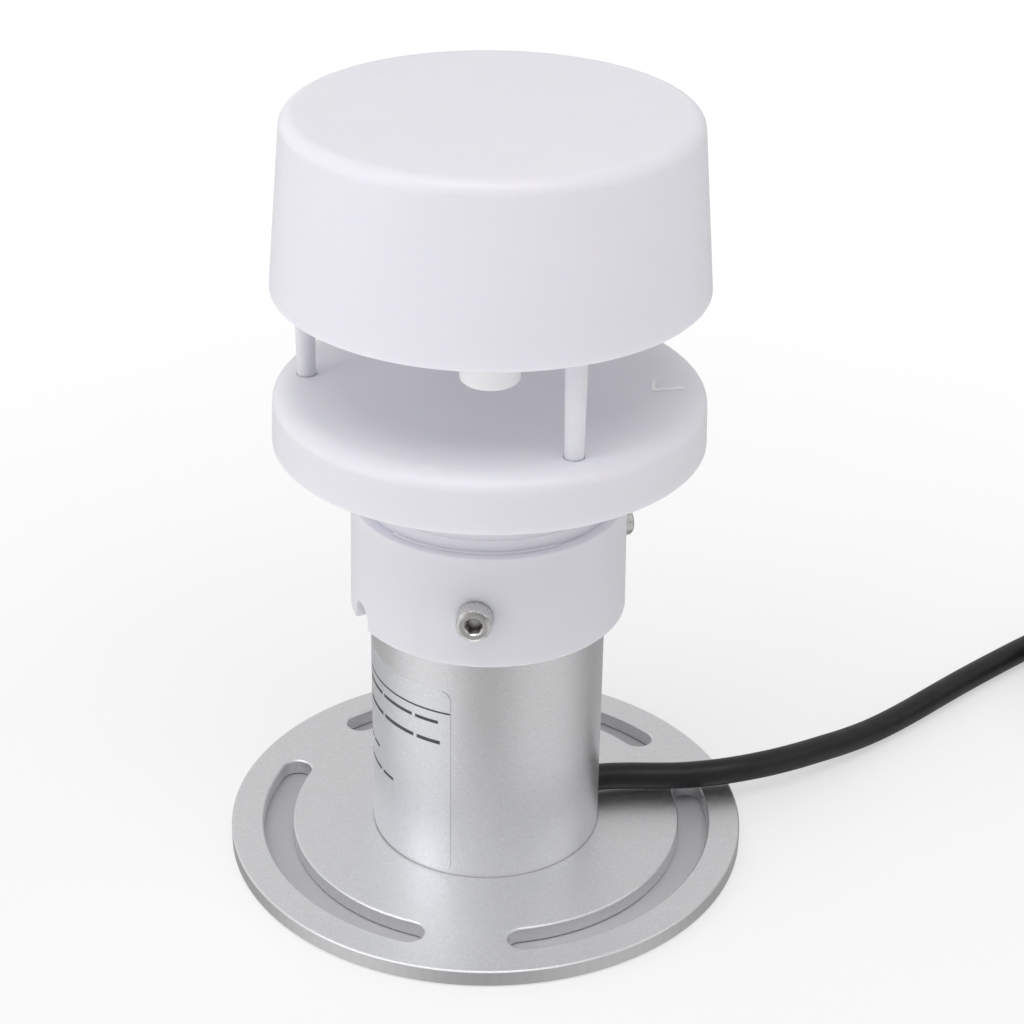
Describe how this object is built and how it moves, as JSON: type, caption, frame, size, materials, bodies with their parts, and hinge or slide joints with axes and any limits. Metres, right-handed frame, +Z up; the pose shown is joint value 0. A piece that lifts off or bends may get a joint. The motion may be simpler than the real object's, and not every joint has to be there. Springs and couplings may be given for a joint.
{
  "type": "ultrasonic anemometer",
  "caption": "Ultrasonic wind speed and direction sensor: probe cap on posts above a flat disc, clamped to an aluminium tube on a slotted flange, with a signal cable",
  "frame": {"origin": "centre of the flange's underside, on the surface that it stands on", "axes": "+Z up along the tube, -Y towards the side with a probe and a clamp screw, +X towards the side where the cable leaves"},
  "size_m": [0.2679, 0.1587, 0.1618],
  "materials": {
    "flange_metal": "fine bead-blasted, clear anodised",
    "tube_metal": "satin, clear anodised",
    "label_film": "satin printed film",
    "cable_black": "slightly glossy sheath",
    "seal_rubber": "smooth",
    "seal_light": "smooth",
    "tie_black": "satin",
    "core_brown": "satin",
    "core_black": "satin",
    "core_yellow": "satin",
    "core_blue": "satin",
    "tinned": "bright tinned strands",
    "body_white": "fine matte moulding",
    "cap_white": "fine matte moulding",
    "probe_white": "smooth matte",
    "screw_steel": "turned, bright",
    "brass": "turned",
    "board_green": "solder mask",
    "chip_black": "matte",
    "connector_black": "satin",
    "socket_cream": "satin",
    "lead_red": "satin",
    "can_silver": "drawn can"
  },
  "bodies": {
    "base": {"flange_plate": "flange_metal", "tube": "tube_metal", "foot_ring": "tube_metal", "foot_screws": "screw_steel", "cable_grommet": "seal_rubber", "inner_cable": "cable_black", "lead_plug": "connector_black", "label": "label_film", "cable": "cable_black", "cable_coil": "cable_black", "cable_tail": "cable_black", "coil_tie": "tie_black", "core_brown": "core_brown", "core_black": "core_black", "core_yellow": "core_yellow", "core_blue": "core_blue", "core_tips": "tinned"},
    "head": {"collar": "body_white", "screw_inserts": "brass", "neck_screws": "screw_steel", "disc_base": "body_white", "disc_seal": "seal_rubber", "disc_screws": "screw_steel", "reflector_disc": "body_white", "main_board": "board_green", "board_chips": "chip_black", "board_spacers": "screw_steel", "board_screws": "screw_steel", "board_socket": "socket_cream", "head_lead": "cable_black", "lead_socket": "connector_black", "post_front": "body_white", "post_rear": "body_white", "post_left": "body_white", "post_screws": "screw_steel", "post_lead": "lead_red", "cap_floor": "body_white", "cap_seal": "seal_light", "cap_screws": "screw_steel", "top_cap": "cap_white", "probe_front": "probe_white", "probe_right": "probe_white", "probe_rear": "probe_white", "probe_left": "probe_white", "probe_seals": "seal_rubber", "piezo_discs": "brass", "probe_leads": "lead_red", "driver_board": "board_green", "driver_spacers": "brass", "driver_screws": "screw_steel", "driver_chips": "chip_black", "transformers": "can_silver"},
    "clamp_screw_front": {"clamp_screw_front": "screw_steel"},
    "clamp_screw_right": {"clamp_screw_right": "screw_steel"},
    "clamp_screw_rear": {"clamp_screw_rear": "screw_steel"}
  },
  "joints": [
    {"name": "head_turn", "type": "hinge", "parent": "base", "child": "head", "pos_m": [0, 0, 0.0688], "axis": [0, 0, 1], "range_deg": [-175, 175]},
    {"name": "clamp_screw_front_slide", "type": "slide", "parent": "head", "child": "clamp_screw_front", "axis": [-0.0872, -0.9962, 0], "range_m": [0, 0.002]},
    {"name": "clamp_screw_right_slide", "type": "slide", "parent": "head", "child": "clamp_screw_right", "axis": [0.9063, 0.4226, 0], "range_m": [0, 0.002]},
    {"name": "clamp_screw_rear_slide", "type": "slide", "parent": "head", "child": "clamp_screw_rear", "axis": [-0.8192, 0.5736, 0], "range_m": [0, 0.002]}
  ]
}
